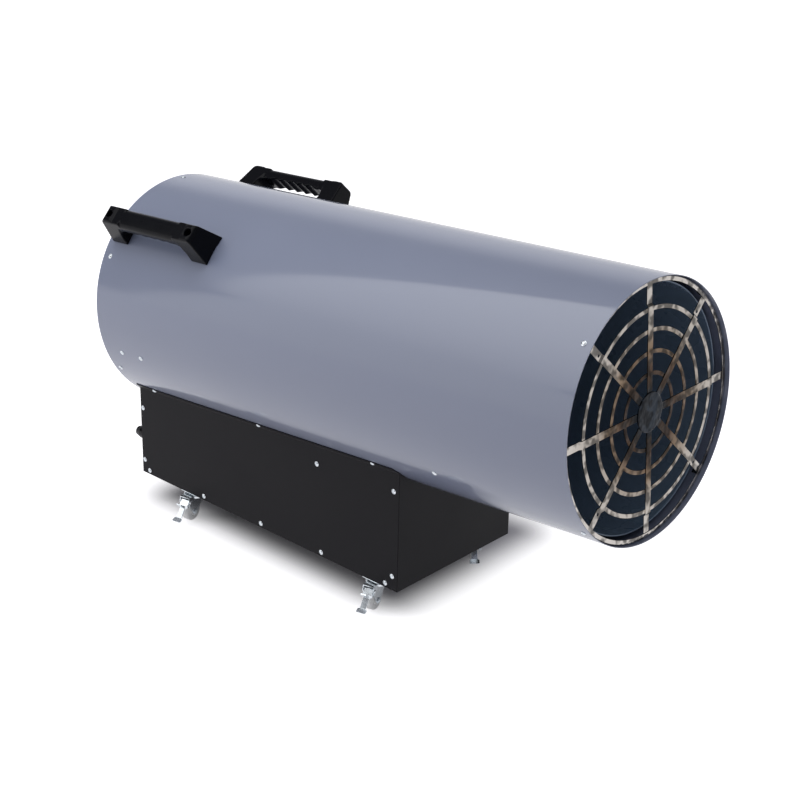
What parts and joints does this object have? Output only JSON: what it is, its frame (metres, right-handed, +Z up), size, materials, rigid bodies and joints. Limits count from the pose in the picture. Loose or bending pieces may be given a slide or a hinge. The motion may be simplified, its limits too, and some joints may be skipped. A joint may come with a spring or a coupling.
{
  "type": "forced air heater",
  "caption": "Portable forced-air gas heater: long tilted body tube with ringed outlet grille and axial fan, on a black sheet-metal base box with side handles and braked swivel casters.",
  "frame": {"origin": "on the floor, at the middle of the bounding box in X and Y", "axes": "+X horizontally towards the hot-air outlet, +Y towards the heater's left side seen from behind, +Z up; the body tube itself tilts 4.3 degrees upwards towards +X"},
  "size_m": [1.1092, 0.43, 0.6828],
  "materials": {
    "tube_paint": "gloss blue-grey powder coat",
    "base_paint": "satin black powder coat",
    "stainless": "bright annealed stainless strip, heat tinted",
    "heat_steel": "glossy blue-black heat-blued steel",
    "burner_steel": "heat-dulled sheet steel",
    "zinc": "bright zinc plate",
    "brass": "turned brass",
    "copper": "drawn copper pipe",
    "ceramic": "glazed white ceramic",
    "cast_alu": "die-cast aluminium",
    "motor_paint": "semi-gloss dark paint",
    "guard_wire": "zinc-plated wire",
    "black_plastic": "satin black moulded polymer",
    "red_plastic": "gloss red moulded polymer",
    "white_nylon": "satin white nylon",
    "fan_metal": "pressed aluminium"
  },
  "bodies": {
    "heater_body": {"outer_tube": "tube_paint", "outlet_grille": "stainless", "heat_liner": "heat_steel", "liner_spacers": "burner_steel", "burner_cone": "burner_steel", "burner_plate": "burner_steel", "burner_arms": "burner_steel", "flame_spreader": "burner_steel", "gas_jet": "brass", "igniter": "ceramic", "flame_sensor": "ceramic", "fan_motor": "motor_paint", "motor_bracket": "zinc", "rear_guard": "guard_wire", "base_tray": "base_paint", "side_panel_left": "base_paint", "side_panel_right": "base_paint", "outlet_end_panel": "base_paint", "control_panel": "base_paint", "tube_rail_left": "base_paint", "tube_rail_right": "base_paint", "gas_valve": "cast_alu", "gas_inlet": "brass", "gas_pipe": "copper", "ignition_unit": "black_plastic", "cable_gland": "black_plastic", "rocker_frame": "black_plastic", "piezo_igniter": "black_plastic", "handle_left": "black_plastic", "handle_right": "black_plastic", "handle_bolts": "zinc", "tube_screws": "zinc", "panel_screws": "zinc", "caster_screws": "zinc", "caster_plates": "zinc"},
    "fan_rotor": {"fan": "fan_metal", "fan_shaft": "zinc"},
    "rocker": {"power_rocker": "red_plastic"},
    "ignition_push": {"ignition_button": "red_plastic"},
    "gas_push": {"gas_button": "red_plastic"},
    "regulator_knob": {"heat_knob": "black_plastic"},
    "swivel_1": {"caster_fork_1": "zinc", "caster_pins_1": "zinc"},
    "wheel_1": {"caster_wheel_1": "white_nylon"},
    "pedal_1": {"brake_pedal_1": "zinc"},
    "swivel_2": {"caster_fork_2": "zinc", "caster_pins_2": "zinc"},
    "wheel_2": {"caster_wheel_2": "white_nylon"},
    "pedal_2": {"brake_pedal_2": "zinc"},
    "swivel_3": {"caster_fork_3": "zinc", "caster_pins_3": "zinc"},
    "wheel_3": {"caster_wheel_3": "white_nylon"},
    "pedal_3": {"brake_pedal_3": "zinc"},
    "swivel_4": {"caster_fork_4": "zinc", "caster_pins_4": "zinc"},
    "wheel_4": {"caster_wheel_4": "white_nylon"},
    "pedal_4": {"brake_pedal_4": "zinc"}
  },
  "joints": [
    {"name": "fan_spin", "type": "hinge", "parent": "heater_body", "child": "fan_rotor", "pos_m": [-0.30913, 0, 0.40476], "axis": [0.9972, 0, 0.075], "continuous": true},
    {"name": "power_rocker_tilt", "type": "hinge", "parent": "heater_body", "child": "rocker", "pos_m": [-0.505, -0.078, 0.119], "axis": [0, -1, 0], "range_deg": [0, 20]},
    {"name": "ignition_press", "type": "slide", "parent": "heater_body", "child": "ignition_push", "axis": [1, 0, 0], "range_m": [0, 0.006], "stiffness_N_per_m": 300, "springref_m": -0.003},
    {"name": "gas_press", "type": "slide", "parent": "heater_body", "child": "gas_push", "axis": [1, 0, 0], "range_m": [0, 0.008], "stiffness_N_per_m": 300, "springref_m": -0.004},
    {"name": "knob_turn", "type": "hinge", "parent": "heater_body", "child": "regulator_knob", "pos_m": [-0.505, 0.056, 0.119], "axis": [-1, 0, 0], "range_deg": [0, 270]},
    {"name": "front_right_swivel", "type": "hinge", "parent": "heater_body", "child": "swivel_1", "pos_m": [0.091, -0.127, 0.052], "axis": [0, 0, 1], "continuous": true},
    {"name": "front_right_wheel_spin", "type": "hinge", "parent": "swivel_1", "child": "wheel_1", "pos_m": [0.09511, -0.1435, 0.019], "axis": [0.9703, 0.2419, 0], "continuous": true},
    {"name": "front_right_brake", "type": "hinge", "parent": "swivel_1", "child": "pedal_1", "pos_m": [0.09862, -0.15756, 0.0425], "axis": [0.9703, 0.2419, 0], "range_deg": [0, 13]},
    {"name": "rear_right_swivel", "type": "hinge", "parent": "heater_body", "child": "swivel_2", "pos_m": [-0.379, -0.127, 0.052], "axis": [0, 0, 1], "continuous": true},
    {"name": "rear_right_wheel_spin", "type": "hinge", "parent": "swivel_2", "child": "wheel_2", "pos_m": [-0.37605, -0.14374, 0.019], "axis": [0.9848, 0.1736, 0], "continuous": true},
    {"name": "rear_right_brake", "type": "hinge", "parent": "swivel_2", "child": "pedal_2", "pos_m": [-0.37353, -0.15802, 0.0425], "axis": [0.9848, 0.1736, 0], "range_deg": [0, 13]},
    {"name": "front_left_swivel", "type": "hinge", "parent": "heater_body", "child": "swivel_3", "pos_m": [0.091, 0.127, 0.052], "axis": [0, 0, 1], "continuous": true},
    {"name": "front_left_wheel_spin", "type": "hinge", "parent": "swivel_3", "child": "wheel_3", "pos_m": [0.10281, 0.11477, 0.019], "axis": [0.7193, 0.6947, 0], "continuous": true},
    {"name": "front_left_brake", "type": "hinge", "parent": "swivel_3", "child": "pedal_3", "pos_m": [0.11288, 0.10434, 0.0425], "axis": [0.7193, 0.6947, 0], "range_deg": [0, 13]},
    {"name": "rear_left_swivel", "type": "hinge", "parent": "heater_body", "child": "swivel_4", "pos_m": [-0.379, 0.127, 0.052], "axis": [0, 0, 1], "continuous": true},
    {"name": "rear_left_wheel_spin", "type": "hinge", "parent": "swivel_4", "child": "wheel_4", "pos_m": [-0.37319, 0.14297, 0.019], "axis": [-0.9397, 0.342, 0], "continuous": true},
    {"name": "rear_left_brake", "type": "hinge", "parent": "swivel_4", "child": "pedal_4", "pos_m": [-0.36823, 0.1566, 0.0425], "axis": [-0.9397, 0.342, 0], "range_deg": [0, 13]}
  ]
}
